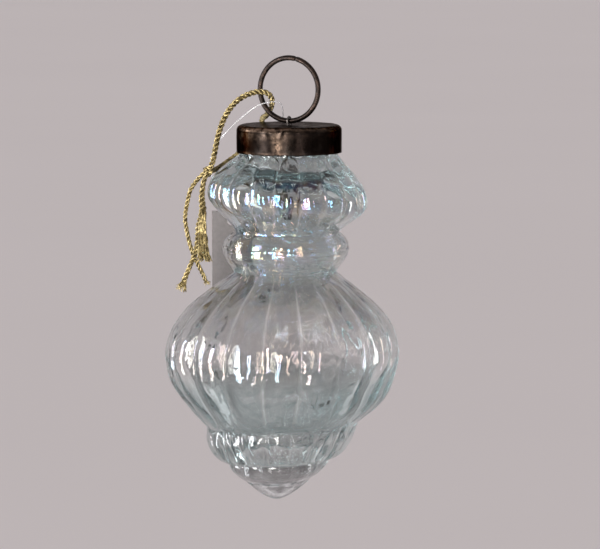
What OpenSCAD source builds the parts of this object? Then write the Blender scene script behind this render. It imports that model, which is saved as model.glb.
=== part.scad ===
/* [Glass] */
// Largest radius of the upper fluted bulb
upper_r = 25.9; // [22:0.1:26]
// Radius of the groove above the collar
groove_r = 16.7; // [15:0.1:18]
// Largest radius of the plain collar
collar_r = 20.3; // [18:0.1:22]
// Radius of the waist below the collar
waist_r = 16.4; // [15:0.1:18]
// Largest radius of the large fluted bulb
bulb_r = 38; // [34:0.5:40]
// Radius of the fluted band under the large bulb
band_r = 24; // [21:0.1:26]
// Radius of the step under the band
step_r = 16; // [14:0.1:18]
// Radius where the tip starts
tip_r = 10; // [8:0.1:11]
// Number of flutes round the glass
flutes = 18; // [12:1:24]
// Depth of the flutes on the bulbs
flute_depth = 1.5; // [0.4:0.1:1.8]
// Thickness of the glass wall
wall = 1.8; // [1.4:0.1:2.2]
// Thickness of the glass at the band, step and tip
base_wall = 4.4; // [3.6:0.1:4.8]
// Lean of the hand-blown body off plumb, in degrees
lean = 2; // [0:0.1:2.5]

/* [Cap] */
// Outside radius of the cap
cap_r = 16.9; // [16.7:0.1:18]
// Height of the cap
cap_h = 8.8; // [8:0.1:9]
// Thickness of the cap's sheet
cap_sheet = 0.5; // [0.4:0.1:0.6]
// Radius of the cap's rounded top edge
cap_edge = 1.7; // [1:0.1:2]

/* [Ring and clip] */
// Radius of the ring, to the middle of its wire
ring_r = 10.15; // [9.5:0.05:11]
// Diameter of the ring's wire
ring_wire = 1.7; // [1.4:0.1:1.7]
// Diameter of the clip's wire
clip_wire = 0.6; // [0.5:0.1:0.9]
// Depth of the clip's bends below the top of the cap
clip_depth = 28; // [26:0.5:29]
// Slant of the clip's sprung arms from upright, in degrees
arm_slant = 30; // [24:1:30]
// Length of the clip's sprung arms
arm_length = 23; // [18:0.5:23]

/* [Cord and tag] */
// Diameter of the gold cord
cord_d = 2; // [1.6:0.1:2.2]
// Diameter of the cord's thin tail
thin_d = 1.5; // [1.2:0.1:1.8]
// Diameter of the clear thread
thread_d = 0.4; // [0.3:0.05:0.5]
// Width of the tag
tag_w = 13; // [11:1:15]
// Height of the tag
tag_h = 30; // [26:1:31]
// Thickness of the tag's card
tag_t = 0.5; // [0.4:0.1:0.6]

/* [Hidden] */
$fn = 48;

// Ring, clip and cap. The origin is where the ring's inside rests on a hook.
ring_z = -(ring_r - ring_wire / 2);
ring_gap_deg = 1.5;
ring_gap_at = 76;
eye_play = 0.2;
cap_play = 0.35;
hole_play = 0.4;
eye_z = ring_z - ring_r;
eye_r = ring_wire / 2 + eye_play + clip_wire / 2;
cap_z = eye_z - ring_wire / 2 - cap_play;
cap_end_z = cap_z - cap_h;
wire_hole_d = clip_wire + hole_play;
bend_z = cap_z - clip_depth;

// Heights of the glass body's stations
rim_play = 0.45;
shoulder_play = 0.4;
rim_z = cap_z - cap_sheet - rim_play;
neck_r = 15.8;
neck_wall = 2.2;
shoulder_z = cap_end_z - shoulder_play;
flare_z = -36;
upper_z = -43.8;
groove_z = -55.2;
collar_z = -60.3;
waist_z = -67.8;
bulb_z = -93.8;
seat_z = -117.3;
band_z = -119;
step_z = -129.4;
tip_z = -136;
end_z = -142;
cavity_end_z = -139.2;

// Facets round the glass, a whole number to each flute
around = flutes * 4;
flute_turn = -6;
lean_turn = 204;

// The cord and tag hang on the side that this turn puts before the viewer
hang_turn = 24;
cord_sides = 8;

// Gold cord, from the knot up in front of the ring, through it and down behind the cap to the knot
loop_path = [
    [-25.4, 0, -34.6], [-24.4, -1, -32], [-23.6, -1.2, -28], [-22.6, -1, -23.5], [-21, -0.5, -19],
    [-19, 0.2, -15.6], [-16.6, 1, -13], [-13.6, 1.5, -11.2], [-10.2, 1.7, -10.2], [-7.6, 1.6, -10.4],
    [-6.2, 2.2, -11.4], [-5.5, 3.4, -13.2], [-5.8, 4.9, -15.2], [-6.6, 6.8, -17], [-7.6, 10, -18.6],
    [-8.3, 14, -19.2], [-8.8, 17, -20.2], [-9.4, 18.7, -22.6], [-11, 18.6, -25.6], [-13.6, 16, -28.2],
    [-16.6, 13.6, -31.2], [-20, 11.4, -33.6], [-23, 7.8, -35.4], [-24.6, 4, -35.7], [-24.8, 1.4, -35]
];
knot_at = [-25.9, 0.2, -35.6];
knot_r = 1.9;
front_path = [
    [-26.4, -0.4, -36.4], [-27.4, -1, -38.8], [-27.9, -1.2, -42], [-28, -1.2, -45], [-27.7, -1.2, -48],
    [-28.1, -1.3, -51], [-28.7, -1.4, -54], [-28.9, -1.5, -57], [-29.9, -1.6, -61], [-31.4, -1.7, -65],
    [-33.1, -1.8, -69], [-34.2, -1.8, -72]
];
front_r = [0.9, 0.9, 0.9, 1, 1.2, 1.3, 1.3, 1.2, 1, 1, 1.3, 1.7];
fray_path = [[-28.2, -1.9, -55.8], [-27.8, -3.6, -58], [-27.2, -6, -60.4], [-26.7, -8.4, -62.6]];
fray_r = [0.7, 0.9, 1, 1.1];
side_path = [
    [-26.8, 1.4, -35.8], [-29, 2, -38], [-31.6, 2.2, -41.6], [-32.8, 2.4, -46], [-33.5, 2.6, -51],
    [-32.8, 2.8, -56], [-31.6, 3.4, -61], [-29.6, 5, -66], [-27.8, 7.2, -70], [-27, 9, -72.4]
];

// Card tag, leaning on the glass behind it
tag_top = [-18.9, 28.2, -51.2];
tag_lean = 10;
tag_hole_d = 3;
tag_hole_drop = 3.4;

// Clear thread, from its knot up on the left to the ring, through it and down behind the cap to the tag
thread_path = [
    [-19.3, 28, -48.8], [-21.6, 26, -45.4], [-24.4, 20.4, -40.8], [-25.6, 12.6, -35.4], [-24.6, 6, -30],
    [-21.6, 2.8, -25], [-17.6, 2, -20.6], [-13, 1.6, -16.6], [-10.4, 1.4, -14.8], [-7.8, 1.3, -13.8],
    [-5.2, 1.4, -13.4], [-3, 2.6, -13.8], [-2.2, 5, -15.2], [-2, 8, -17.2], [-2, 12, -18.9],
    [-2.6, 16, -20.1], [-4.4, 18.6, -22.8], [-8.4, 20.4, -28.6], [-13, 22.8, -35.8], [-17.2, 25.9, -43.4],
    [-18.9, 27.6, -49.2], [-18.9, 27.8, -53.2], [-18.9, 28.5, -54.8], [-18.9, 29.5, -54.2],
    [-18.9, 29.5, -51.6], [-19.2, 28.6, -49.4]
];
thread_knot_at = [-19.1, 27.9, -48.4];
thread_knot_r = 0.8;

// Swell of a rounded form, 1 at its widest (t = 0) and 0 at its edge (t = 1).
// A power of 0.5 is an ellipse and 1 a parabola.
function swell(t, power) = pow(max(0, 1 - t * t), power);

// Radius between an edge and the widest place of a rounded form
function rounded(z, edge_z, edge_r, wide_z, wide_r, power) =
    edge_r + (wide_r - edge_r) * swell(abs(z - wide_z) / abs(edge_z - wide_z), power);

// Outside radius of the glass at a height
function glass_r(z) =
    z > shoulder_z ? neck_r
    : z > upper_z ? rounded(z, shoulder_z, neck_r, upper_z, upper_r, 1.35)
    : z > groove_z ? rounded(z, groove_z, groove_r, upper_z, upper_r, 1.7)
    : z > collar_z ? rounded(z, groove_z, groove_r, collar_z, collar_r, 0.7)
    : z > waist_z ? rounded(z, waist_z, waist_r, collar_z, collar_r, 1.3)
    : z > bulb_z ? rounded(z, waist_z, waist_r, bulb_z, bulb_r, 1.14)
    : z > seat_z ? rounded(z, seat_z, band_r, bulb_z, bulb_r, 1.05)
    : z > step_z ? rounded(z, step_z, step_r, band_z, band_r, 0.6)
    : z > tip_z ? rounded(z, tip_z, tip_r, step_z, step_r, 1.2)
    : tip_r * pow((z - end_z) / (tip_z - end_z), 0.62);

// Share of the full flute depth at a height: none on the neck, collar, step and tip
function fluting(z) =
    z > groove_z ? pow(max(0, sin(180 * (shoulder_z - z) / (shoulder_z - groove_z))), 0.6)
    : z > waist_z ? 0
    : z > seat_z ? pow(max(0, sin(180 * (waist_z - z) / (waist_z - seat_z))), 0.6)
    : z > step_z ? 0.7 * pow(max(0, sin(180 * (seat_z - z) / (seat_z - step_z))), 0.6)
    : 0;

// Rounded lobes with a narrow groove between them
function groove(angle) = 1 - abs(cos(flutes * (angle - flute_turn) / 2));

// Sideways place of the body's middle at a height
function middle(z) = let (d = tan(lean) * max(0, shoulder_z - z)) [d * cos(lean_turn), d * sin(lean_turn)];

// One ring of points round the glass
function glass_ring(z, r, depth) = [
    for (i = [0 : around - 1])
        let (angle = flute_turn + 360 * i / around, s = r - depth * groove(angle))
            [middle(z)[0] + s * cos(angle), middle(z)[1] + s * sin(angle), z]
];

// Heights from one station to the next, closer together near both of them
function heights(from, to, n) = [
    for (i = [0 : n - 1]) (from + to) / 2 + (from - to) / 2 * cos(180 * i / n)
];

// Inside radius of the glass at a height: thick at the shoulder and the base, thin on the bulbs
function thin_r(r) = r - wall - flute_depth;
function thick_r(r) = r - base_wall;
function cavity_r(z) =
    z > flare_z ? neck_r - neck_wall
    : z > upper_z ? rounded(z, flare_z, neck_r - neck_wall, upper_z, thin_r(upper_r), 1.2)
    : z > bulb_z ? glass_r(z) - wall - flute_depth * fluting(z)
    : z > seat_z ? rounded(z, seat_z, thick_r(band_r), bulb_z, thin_r(bulb_r), 1.5)
    : z > band_z ? thick_r(band_r)
    : z > step_z ? rounded(z, step_z, thick_r(step_r), band_z, thick_r(band_r), 0.8)
    : z > tip_z ? rounded(z, tip_z, thick_r(tip_r), step_z, thick_r(step_r), 1.1)
    : rounded(z, cavity_end_z, 0, tip_z, thick_r(tip_r), 0.6);

// Triangles between rings of equal count, from one pole point to another
function pole_faces(pole, first, up) = [
    for (i = [0 : around - 1])
        let (a = first + i, b = first + (i + 1) % around) up ? [pole, a, b] : [pole, b, a]
];
function ring_faces(rings, count, first) = [
    for (k = [0 : rings - 2], i = [0 : count - 1], half = [0, 1])
        let (a = first + k * count + i, b = first + k * count + (i + 1) % count)
            half == 0 ? [a, a + count, b] : [b, a + count, b + count]
];

// Point at the middle of the body at a height
function pole(z) = [middle(z)[0], middle(z)[1], z];

// One blown piece: the outside from the tip up to the rim, then the inside down to its floor
module glass_body() {
    outside_z = concat(
        [for (i = [0.05, 0.2, 0.45, 0.7]) end_z + (tip_z - end_z) * i],
        heights(tip_z, step_z, 4), heights(step_z, band_z, 7), [band_z],
        heights(seat_z, bulb_z, 8), heights(bulb_z, waist_z, 8), heights(waist_z, collar_z, 4),
        heights(collar_z, groove_z, 4), heights(groove_z, upper_z, 6), heights(upper_z, shoulder_z, 6),
        [shoulder_z, rim_z]
    );
    inside_z = concat(
        [rim_z], heights(flare_z, upper_z, 4), heights(upper_z, groove_z, 3), [groove_z, collar_z],
        heights(waist_z, bulb_z, 5), heights(bulb_z, seat_z, 4), [seat_z], heights(band_z, step_z, 3),
        heights(step_z, tip_z, 2), [for (i = [0, 0.5, 0.9]) tip_z + (cavity_end_z - tip_z) * i]
    );
    rings = concat(
        [for (z = outside_z) glass_ring(z, glass_r(z), flute_depth * fluting(z))],
        [for (z = inside_z) glass_ring(z, cavity_r(z), 0)]
    );
    points = concat([pole(end_z)], [for (ring = rings) each ring], [pole(cavity_end_z)]);
    faces = concat(
        pole_faces(0, 1, true),
        ring_faces(len(rings), around, 1),
        pole_faces(len(points) - 1, len(points) - 1 - around, false)
    );
    color([0.8, 0.9, 0.9, 0.4])
        polyhedron(points, faces);
}

// Rounded shell profile of the cap, from the middle of its top to its rim
function cap_profile(r, top, edge) = [
    [0, top],
    for (i = [0 : 6]) [r - edge + edge * sin(15 * i), top - edge + edge * cos(15 * i)],
    [r, cap_end_z]
];
function reversed(list) = [for (i = [len(list) - 1 : -1 : 0]) list[i]];

// Pressed cap with two holes for the clip's wire
module metal_cap() {
    color([0.3, 0.2, 0.16])
        difference() {
            rotate_extrude()
                polygon(concat(
                    cap_profile(cap_r, cap_z, cap_edge),
                    reversed(cap_profile(cap_r - cap_sheet, cap_z - cap_sheet, cap_edge - cap_sheet))
                ));
            for (side = [-1, 1])
                translate([0, side * eye_r, cap_z - 2 * cap_sheet])
                    cylinder(d = wire_hole_d, h = 3 * cap_sheet);
        }
}

// One leg of the clip: straight down, a sharp bend, and a sprung arm back up to the neck's wall
module clip_leg() {
    translate([0, eye_r, bend_z]) {
        cylinder(d = clip_wire, h = eye_z - bend_z);
        sphere(d = clip_wire);
        rotate([-arm_slant, 0, 0])
            cylinder(d = clip_wire, h = arm_length);
    }
}

// One bent wire: an eye over the ring and two legs through the cap
module spring_clip() {
    color([0.35, 0.3, 0.27])
        union() {
            translate([0, 0, eye_z])
                rotate([90, 0, 90])
                    rotate_extrude(angle = 180)
                        translate([eye_r, 0])
                            circle(d = clip_wire);
            clip_leg();
            mirror([0, 1, 0])
                clip_leg();
        }
}

// Round wire ring, closed by a butt joint
module hanging_ring() {
    color([0.2, 0.14, 0.12])
        translate([0, 0, ring_z])
            rotate([90, 0, 0])
                rotate_extrude(angle = 360 - ring_gap_deg, start = ring_gap_at + ring_gap_deg)
                    translate([ring_r, 0])
                        circle(d = ring_wire);
}

// Smooth curve through a route's points, with steps points to each stretch
function curve_point(p0, p1, p2, p3, t) =
    0.5 * (2 * p1 + (p2 - p0) * t + (2 * p0 - 5 * p1 + 4 * p2 - p3) * t * t
    + (3 * p1 - p0 - 3 * p2 + p3) * t * t * t);
function smooth(path, steps) = let (last = len(path) - 1) [
    for (k = [0 : last - 1], j = [0 : steps - 1])
        curve_point(path[max(k - 1, 0)], path[k], path[k + 1], path[min(k + 2, last)], j / steps),
    path[last]
];
function between(list, share) =
    let (at = share * (len(list) - 1), k = min(floor(at), len(list) - 2))
        list[k] + (list[k + 1] - list[k]) * (at - k);
function unit(v) = v / norm(v);

// Directions along a route, and a side direction carried along it without twist
function tangents(p) = [
    for (i = [0 : len(p) - 1]) unit(p[min(i + 1, len(p) - 1)] - p[max(i - 1, 0)])
];
function flattened(v, along) = unit(v - along * (v * along));
function sides(along) = [
    for (i = 0, v = flattened([0.3, 0.9, 0.2], along[0]); i < len(along);
        i = i + 1, v = flattened(v, along[min(i, len(along) - 1)])) v
];

// Round tube along a route, with radii that follow it from end to end
module tube(path, radii, steps = 1) {
    p = smooth(path, steps);
    along = tangents(p);
    side = sides(along);
    rings = [
        for (i = [0 : len(p) - 1], j = [0 : cord_sides - 1])
            let (
                angle = 360 * j / cord_sides, r = between(radii, i / (len(p) - 1)),
                other = cross(along[i], side[i])
            )
                p[i] + r * (cos(angle) * side[i] + sin(angle) * other)
    ];
    faces = concat(
        [for (j = [1 : cord_sides - 2]) [0, j, j + 1]],
        ring_faces(len(p), cord_sides, 0),
        let (first = (len(p) - 1) * cord_sides)
            [for (j = [1 : cord_sides - 2]) [first, first + j + 1, first + j]]
    );
    polyhedron(rings, faces);
}

module cord_loop() {
    color([0.72, 0.58, 0.24])
        rotate([0, 0, hang_turn])
            tube(loop_path, [cord_d / 2, cord_d / 2], 2);
}

module cord_knot() {
    color([0.72, 0.58, 0.24])
        rotate([0, 0, hang_turn])
            translate(knot_at)
                sphere(r = knot_r);
}

module cord_tail_front() {
    color([0.72, 0.58, 0.24])
        rotate([0, 0, hang_turn])
            tube(front_path, front_r * cord_d / 2, 2);
}

module cord_tail_fray() {
    color([0.72, 0.58, 0.24])
        rotate([0, 0, hang_turn])
            tube(fray_path, fray_r * cord_d / 2, 2);
}

module cord_tail_side() {
    color([0.72, 0.58, 0.24])
        rotate([0, 0, hang_turn])
            tube(side_path, [thin_d / 2, thin_d / 2], 2);
}

module tag_thread() {
    color([0.85, 0.87, 0.9])
        rotate([0, 0, hang_turn])
            tube(thread_path, [thread_d / 2, thread_d / 2], 2);
}

module thread_knot() {
    color([0.85, 0.87, 0.9])
        rotate([0, 0, hang_turn])
            translate(thread_knot_at)
                sphere(r = thread_knot_r);
}

// Blank card with a punched hole
module hang_tag() {
    color([0.62, 0.6, 0.6])
        rotate([0, 0, hang_turn])
            translate(tag_top)
                rotate([90 + tag_lean, 0, 0])
                    translate([0, 0, -tag_t])
                        linear_extrude(tag_t)
                            difference() {
                                translate([-tag_w / 2, -tag_h])
                                    square([tag_w, tag_h]);
                                translate([0, -tag_hole_drop])
                                    circle(d = tag_hole_d);
                            }
}

glass_body();
metal_cap();
spring_clip();
hanging_ring();
cord_loop();
cord_knot();
cord_tail_front();
cord_tail_fray();
cord_tail_side();
tag_thread();
thread_knot();
hang_tag();
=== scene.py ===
import math
import random

import bpy
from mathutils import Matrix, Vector, noise


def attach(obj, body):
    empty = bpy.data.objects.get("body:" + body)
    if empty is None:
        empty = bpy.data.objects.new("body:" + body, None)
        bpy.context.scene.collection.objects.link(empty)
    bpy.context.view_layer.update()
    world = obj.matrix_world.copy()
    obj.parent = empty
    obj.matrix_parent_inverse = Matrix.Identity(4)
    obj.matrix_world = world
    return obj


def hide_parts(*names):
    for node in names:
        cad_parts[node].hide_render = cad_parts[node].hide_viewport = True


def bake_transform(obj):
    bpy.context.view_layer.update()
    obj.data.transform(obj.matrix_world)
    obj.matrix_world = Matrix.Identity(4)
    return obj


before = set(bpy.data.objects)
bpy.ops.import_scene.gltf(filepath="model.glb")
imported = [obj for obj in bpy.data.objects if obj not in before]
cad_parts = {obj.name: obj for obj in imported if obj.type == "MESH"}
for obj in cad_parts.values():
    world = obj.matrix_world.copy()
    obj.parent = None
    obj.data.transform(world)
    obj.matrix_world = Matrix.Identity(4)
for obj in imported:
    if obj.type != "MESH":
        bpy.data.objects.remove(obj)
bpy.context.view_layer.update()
mm = 0.001


# Camera, turned to the ornament as it hangs
shot = {
    "turn": 24,  # degrees round from the ring's own face
    "lift": 6,
    "distance": 1.5,
    "across": 0.1932,  # metres that the picture's width takes in
    "middle": (3.5, 0, -69),
    "sensor": 36,
    "farthest": 60,
}


def hung(u, w, z):  # millimetres to the right, away and up, as the camera looks, into the frame
    c = math.cos(math.radians(shot["turn"]))
    s = math.sin(math.radians(shot["turn"]))
    return Vector((u * c - w * s, u * s + w * c, z)) * mm


def aim(thing, at):
    thing.rotation_euler = (at - thing.location).to_track_quat("-Z", "Y").to_euler()


def makeCamera():
    lens = bpy.data.cameras.new("camera")
    lens.sensor_width = shot["sensor"]
    lens.lens = shot["sensor"] * shot["distance"] / shot["across"]
    lens.clip_end = shot["farthest"]
    camera = bpy.data.objects.new("camera", lens)
    bpy.context.scene.collection.objects.link(camera)
    lift = math.radians(shot["lift"])
    middle = hung(*shot["middle"])
    back = hung(0, -math.cos(lift), math.sin(lift)) / mm
    camera.location = middle + back * shot["distance"]
    aim(camera, middle)
    bpy.context.scene.camera = camera


makeCamera()
print("camera set")


# Small tools for shapes
def smoothRoute(points, steps):  # a curve through every point of a given route
    last = len(points) - 1
    out = []
    for k in range(last):
        a, b = points[max(k - 1, 0)], points[k]
        c, d = points[k + 1], points[min(k + 2, last)]
        for j in range(steps):
            t = j / steps
            bend = (2 * a - 5 * b + 4 * c - d) * t * t + (3 * b - a - 3 * c + d) * t ** 3
            out.append((2 * b + (c - a) * t + bend) / 2)
    return out + [points[last]]


def routeLength(points):
    return sum((b - a).length for a, b in zip(points, points[1:]))


def evenRoute(points, step):  # the same line in equal steps
    count = max(2, round(routeLength(points) / step))
    gap = routeLength(points) / count
    out = [points[0]]
    left = gap
    for a, b in zip(points, points[1:]):
        run = (b - a).length
        at = 0
        while run - at >= left:
            at += left
            out.append(a.lerp(b, at / run))
            left = gap
        left -= run - at
    if len(out) <= count:
        out.append(points[-1])
    return out


def carryFrames(points):  # along, side and other direction at each point, without twist
    frames = []
    side = Vector((0.3, 0.9, 0.2))  # no route sets out this way
    for i in range(len(points)):
        along = (points[min(i + 1, len(points) - 1)] - points[max(i - 1, 0)]).normalized()
        side = (side - along * side.dot(along)).normalized()
        frames.append((along, side, along.cross(side)))
    return frames


def newStore():
    return {"points": [], "faces": [], "tone": []}


def addTube(store, points, radii, sides, tone=0.5):
    first = len(store["points"])
    for p, r, (along, side, other) in zip(points, radii, carryFrames(points)):
        for j in range(sides):
            a = 2 * math.pi * j / sides
            store["points"].append(p + (side * math.cos(a) + other * math.sin(a)) * r)
    for k in range(len(points) - 1):
        for j in range(sides):
            a = first + k * sides + j
            b = first + k * sides + (j + 1) % sides
            store["faces"].append((a, b, b + sides, a + sides))
    end = first + (len(points) - 1) * sides
    store["faces"].append(tuple(first + j for j in reversed(range(sides))))
    store["faces"].append(tuple(end + j for j in range(sides)))
    store["tone"] += [tone] * (len(store["points"]) - first)


def makePiece(name, store, finish):
    mesh = bpy.data.meshes.new(name)
    mesh.from_pydata(store["points"], [], store["faces"])
    mesh.shade_smooth()
    if store.get("tone"):
        tone = mesh.attributes.new("tone", "FLOAT", "POINT")
        tone.data.foreach_set("value", store["tone"])
    mesh.materials.append(finish)
    piece = bpy.data.objects.new(name, mesh)
    bpy.context.scene.collection.objects.link(piece)
    return piece


# Small tools for finishes, and for the nodes of lamps and the world
def newFinish(name, sockets):
    finish = bpy.data.materials.new(name)
    finish.use_nodes = True
    shader = finish.node_tree.nodes["Principled BSDF"]
    for socket, value in sockets.items():
        shader.inputs[socket].default_value = value
    return finish, shader


def addNode(finish, kind, values=None, settings=None):
    node = finish.node_tree.nodes.new(kind)
    for name, value in (settings or {}).items():
        setattr(node, name, value)
    for socket, value in (values or {}).items():
        node.inputs[socket].default_value = value
    return node


def join(finish, start, end):
    finish.node_tree.links.new(start, end)


def grain(finish, scale, detail=3, stretch=(1, 1, 1)):  # noise laid out in the frame's own metres
    place = addNode(finish, "ShaderNodeTexCoord")
    spread = addNode(finish, "ShaderNodeMapping", {"Scale": stretch})
    spots = addNode(finish, "ShaderNodeTexNoise", {"Scale": scale, "Detail": detail})
    join(finish, place.outputs["Object"], spread.inputs["Vector"])
    join(finish, spread.outputs["Vector"], spots.inputs["Vector"])
    return spots.outputs["Fac"]


def ramp(finish, source, stops):  # colours along a 0 to 1 value
    node = addNode(finish, "ShaderNodeValToRGB")
    for k, (at, colour) in enumerate(stops):
        if k < 2:
            stop = node.color_ramp.elements[k]
            stop.position = at
        else:
            stop = node.color_ramp.elements.new(at)
        stop.color = (*colour, 1)
    join(finish, source, node.inputs["Fac"])
    return node.outputs["Color"]


def span(finish, source, low, high, fromLow=0.3, fromHigh=0.7):  # a value moved into a new range
    values = {"From Min": fromLow, "From Max": fromHigh, "To Min": low, "To Max": high}
    node = addNode(finish, "ShaderNodeMapRange", values)
    join(finish, source, node.inputs["Value"])
    return node.outputs["Result"]


def multiply(finish, one, other):
    node = addNode(finish, "ShaderNodeMath", settings={"operation": "MULTIPLY"})
    join(finish, one, node.inputs[0])
    join(finish, other, node.inputs[1])
    return node.outputs["Value"]


def mixColours(finish, share, one, other):  # other may be one plain colour
    node = addNode(finish, "ShaderNodeMix", settings={"data_type": "RGBA"})
    join(finish, share, node.inputs["Factor"])
    join(finish, one, node.inputs["A"])
    if isinstance(other, tuple):
        node.inputs["B"].default_value = (*other, 1)
    else:
        join(finish, other, node.inputs["B"])
    return node.outputs["Result"]


def shade(finish, one, other):  # one colour darkened by another
    settings = {"data_type": "RGBA", "blend_type": "MULTIPLY"}
    node = addNode(finish, "ShaderNodeMix", {"Factor": 1}, settings)
    join(finish, one, node.inputs["A"])
    join(finish, other, node.inputs["B"])
    return node.outputs["Result"]


def bumpy(finish, shader, source, strength, depth):
    node = addNode(finish, "ShaderNodeBump", {"Strength": strength, "Distance": depth})
    join(finish, source, node.inputs["Height"])
    join(finish, node.outputs["Normal"], shader.inputs["Normal"])


def readTone(finish):
    return addNode(finish, "ShaderNodeAttribute", settings={"attribute_name": "tone"}).outputs["Fac"]


# Gold cord: twisted plies of fine metallic strands
gold = {
    "plies": 3,
    "strands": 5,
    "plyPitch": 4.6,
    "strandPitch": 2.1,
    "step": 0.24,
    "plyAt": 0.56, "strandAt": 0.26, "strandR": 0.18,  # in cord radii
    "dark": (0.036, 0.026, 0.01),
    "middle": (0.15, 0.107, 0.037),
    "bright": (0.43, 0.345, 0.163),
    "foil": 1100, "wear": 500, "gloss": 900, "fuzz": 2600,  # how fine each grain is
    "rough": (0.26, 0.5), "bump": (0.35, 0.00008),
    "strandSides": 5, "strandWear": (0.85, 1.12), "strandTone": (0.2, 0.9),
}


def goldFinish():
    finish, shader = newFinish("gold_thread", {"Metallic": 0.75})
    stops = ((0.2, gold["dark"]), (0.5, gold["middle"]), (0.85, gold["bright"]))
    strands = ramp(finish, readTone(finish), stops)
    foil = ramp(finish, grain(finish, gold["foil"], 2), ((0.4, gold["dark"]), (0.6, gold["bright"])))
    mix = mixColours(finish, span(finish, grain(finish, gold["wear"]), 0.25, 0.8), strands, foil)
    join(finish, mix, shader.inputs["Base Color"])
    join(finish, span(finish, grain(finish, gold["gloss"]), *gold["rough"]), shader.inputs["Roughness"])
    bumpy(finish, shader, grain(finish, gold["fuzz"], 2), *gold["bump"])
    return finish


goldThread = goldFinish()
dice = random.Random(7)


def twistCord(store, route, radius, loosen=None):
    points = evenRoute(route, gold["step"] * mm)
    frames = carryFrames(points)
    count = len(points)
    grow = [1 + (loosen(i / (count - 1)) if loosen else 0) for i in range(count)]
    strandR = radius * gold["strandR"]
    for ply in range(gold["plies"]):
        for strand in range(gold["strands"]):
            line = []
            for i, (p, (along, side, other)) in enumerate(zip(points, frames)):
                run = i * gold["step"]
                a = 2 * math.pi * (run / gold["plyPitch"] + ply / gold["plies"])
                out = side * math.cos(a) + other * math.sin(a)
                across = along.cross(out)
                b = 2 * math.pi * (strand / gold["strands"] - run / gold["strandPitch"])
                own = (out * math.cos(b) + across * math.sin(b)) * radius * gold["strandAt"]
                line.append(p + (out * radius * gold["plyAt"] + own) * grow[i])
            wear = dice.uniform(*gold["strandWear"])
            tone = dice.uniform(*gold["strandTone"])
            addTube(store, line, [strandR * wear] * count, gold["strandSides"], tone)
    return points


def addBrush(store, at, end):  # loose filaments of an untwisted end
    down = hung(*end["down"]).normalized()
    across = down.orthogonal().normalized()
    other = down.cross(across)
    steps = 8
    for _ in range(end["count"]):
        turn = dice.uniform(0, 2 * math.pi)
        lean = end["spread"] * math.sqrt(dice.random())
        reach = end["long"] * dice.uniform(0.55, 1)
        out = across * math.cos(turn) + other * math.sin(turn)
        root = at + out * lean * 0.5 * mm
        wave = dice.uniform(-0.5, 0.5)
        line, radii = [], []
        for k in range(steps + 1):
            t = k / steps
            curl = out * lean * (0.5 + t * t) + across.lerp(other, 0.5) * wave * math.sin(5 * t)
            line.append(root + down * reach * t * mm + curl * t * mm)
            radii.append(end["thick"] * mm * (1 - 0.35 * t))  # each one thins out
        addTube(store, line, radii, gold["strandSides"], dice.uniform(0.25, 0.95))


# The cord's loop, from its knot over the ring's front, through it and down behind the cap
loop = {
    "radius": 1.0,
    "length": 0.087,
    "route": (
        (-25.4, 0, -34.6), (-24.4, -1, -32), (-23.6, -1.2, -28), (-22.6, -1, -23.5), (-21, -0.5, -19),
        (-19, 0.2, -15.6), (-16.6, 1, -13), (-13.6, 1.5, -11.2), (-10.2, 1.7, -10.2), (-7.6, 1.6, -10.4),
        (-6.2, 2.2, -11.4), (-5.5, 3.4, -13.2), (-5.8, 4.9, -15.2), (-6.6, 6.8, -17), (-7.6, 10, -18.6),
        (-8.3, 14, -19.2), (-8.8, 17, -20.2), (-9.4, 18.7, -22.6), (-11, 18.6, -25.6), (-13.6, 16, -28.2),
        (-16.6, 13.6, -31.2), (-20, 11.4, -33.6), (-23, 7.8, -35.4), (-24.6, 4, -35.7), (-24.8, 1.4, -35),
    ),
    "knotAt": (-25.9, 0.2, -35.6),
    "knotR": 0.72,
    "knotSize": 0.44,
}


def overhand(at, size):  # the closed curve of an overhand knot
    steps = 72
    deep = 1.3 * size
    out = []
    for k in range(steps + 1):
        t = 2 * math.pi * k / steps
        x = math.sin(t) + 2 * math.sin(2 * t)
        y = math.cos(t) - 2 * math.cos(2 * t)
        out.append(hung(*at) + hung(x * size, -math.sin(3 * t) * deep, y * size))
    return out


def makeLoop():
    store = newStore()
    route = smoothRoute([hung(*p) for p in loop["route"]], steps=12)
    line = twistCord(store, route, loop["radius"] * mm)
    piece = makePiece("gold_cord_loop", store, goldThread)
    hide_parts("cord_loop")
    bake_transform(piece)
    store = newStore()
    twistCord(store, overhand(loop["knotAt"], loop["knotSize"]), loop["knotR"] * mm)
    knot = makePiece("gold_cord_knot", store, goldThread)
    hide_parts("cord_knot")
    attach(knot, "cap")
    print("cord loop", round(routeLength(line), 4), "m")


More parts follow.
